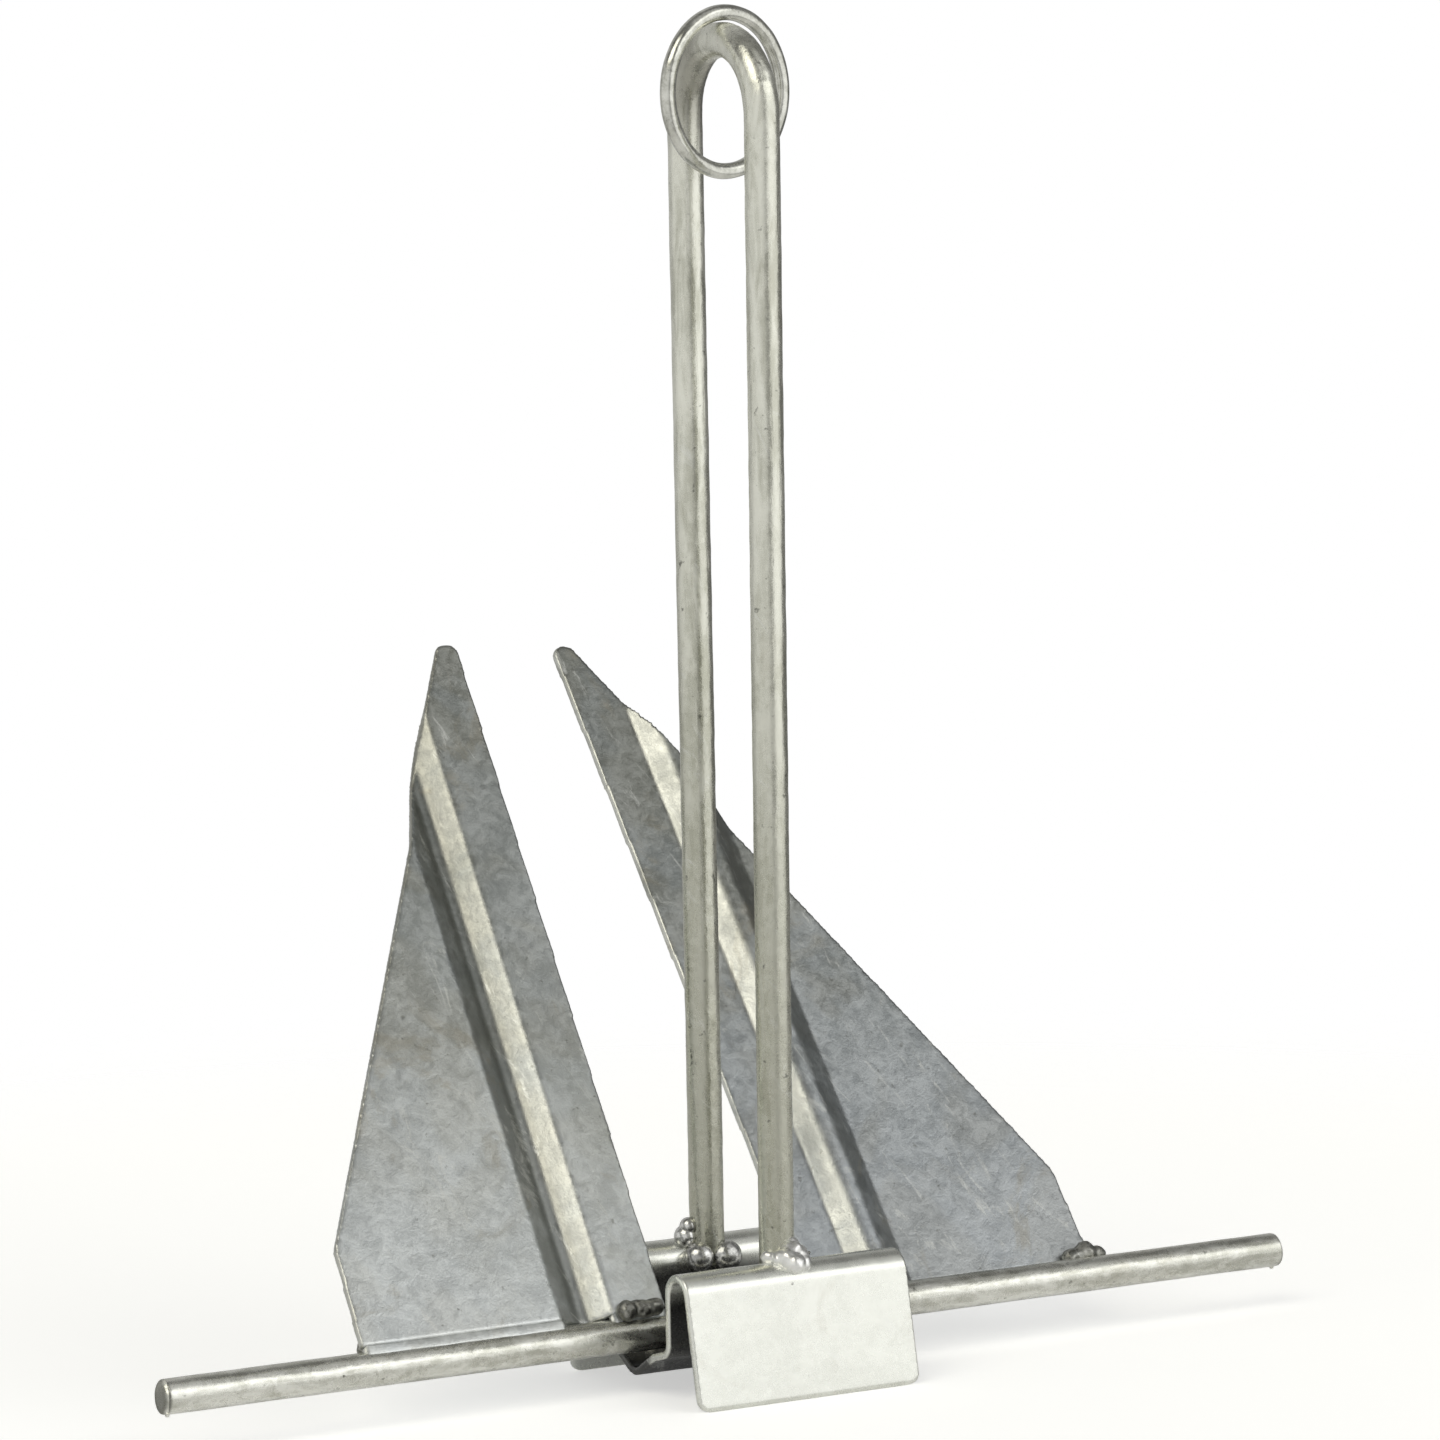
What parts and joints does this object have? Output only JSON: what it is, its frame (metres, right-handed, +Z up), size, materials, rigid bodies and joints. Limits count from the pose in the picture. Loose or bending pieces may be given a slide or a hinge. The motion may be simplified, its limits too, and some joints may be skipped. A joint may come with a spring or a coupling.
{
  "type": "boat anchor",
  "caption": "Slip-ring fluke anchor: hairpin shank with a running ring, bent crown plate with two palms, and two ribbed flukes that swing on a long stock rod.",
  "frame": {"origin": "On the floor under the middle of the stock's axis, with the anchor standing upright on its crown palms", "axes": "+Z up the shank to the ring, X along the stock, +Y to the side that the flukes have fallen to at rest"},
  "size_m": [0.4696, 0.2191, 0.4936],
  "materials": {
    "galvanised_bar": "hot-dip galvanised bar, mottled, satin",
    "galvanised_plate": "hot-dip galvanised plate, pale and smooth",
    "galvanised_fluke": "hot-dip galvanised sheet, blue-grey, dull and mottled",
    "weld_metal": "galvanised weld beads, bright and lumpy",
    "galvanised_ring": "galvanised wire, smooth and fairly bright"
  },
  "bodies": {
    "shank_and_crown": {"shank": "galvanised_bar", "crown_plate": "galvanised_plate", "near_leg_welds": "weld_metal", "far_leg_welds": "weld_metal"},
    "flukes": {"stock_rod": "galvanised_bar", "right_fluke": "galvanised_fluke", "left_fluke": "galvanised_fluke", "right_fluke_inner_weld": "weld_metal", "right_fluke_outer_weld": "weld_metal", "left_fluke_inner_weld": "weld_metal", "left_fluke_outer_weld": "weld_metal"},
    "ring": {"slip_ring": "galvanised_ring", "ring_weld": "galvanised_ring"}
  },
  "joints": [
    {"name": "fluke_swing", "type": "hinge", "parent": "shank_and_crown", "child": "flukes", "pos_m": [0, 0, 0.021], "axis": [1, 0, 0], "range_deg": [0, 71.9]},
    {"name": "ring_swing", "type": "hinge", "parent": "shank_and_crown", "child": "ring", "pos_m": [0, 0, 0.4811], "axis": [0.225, -0.9744, 0], "continuous": true}
  ]
}
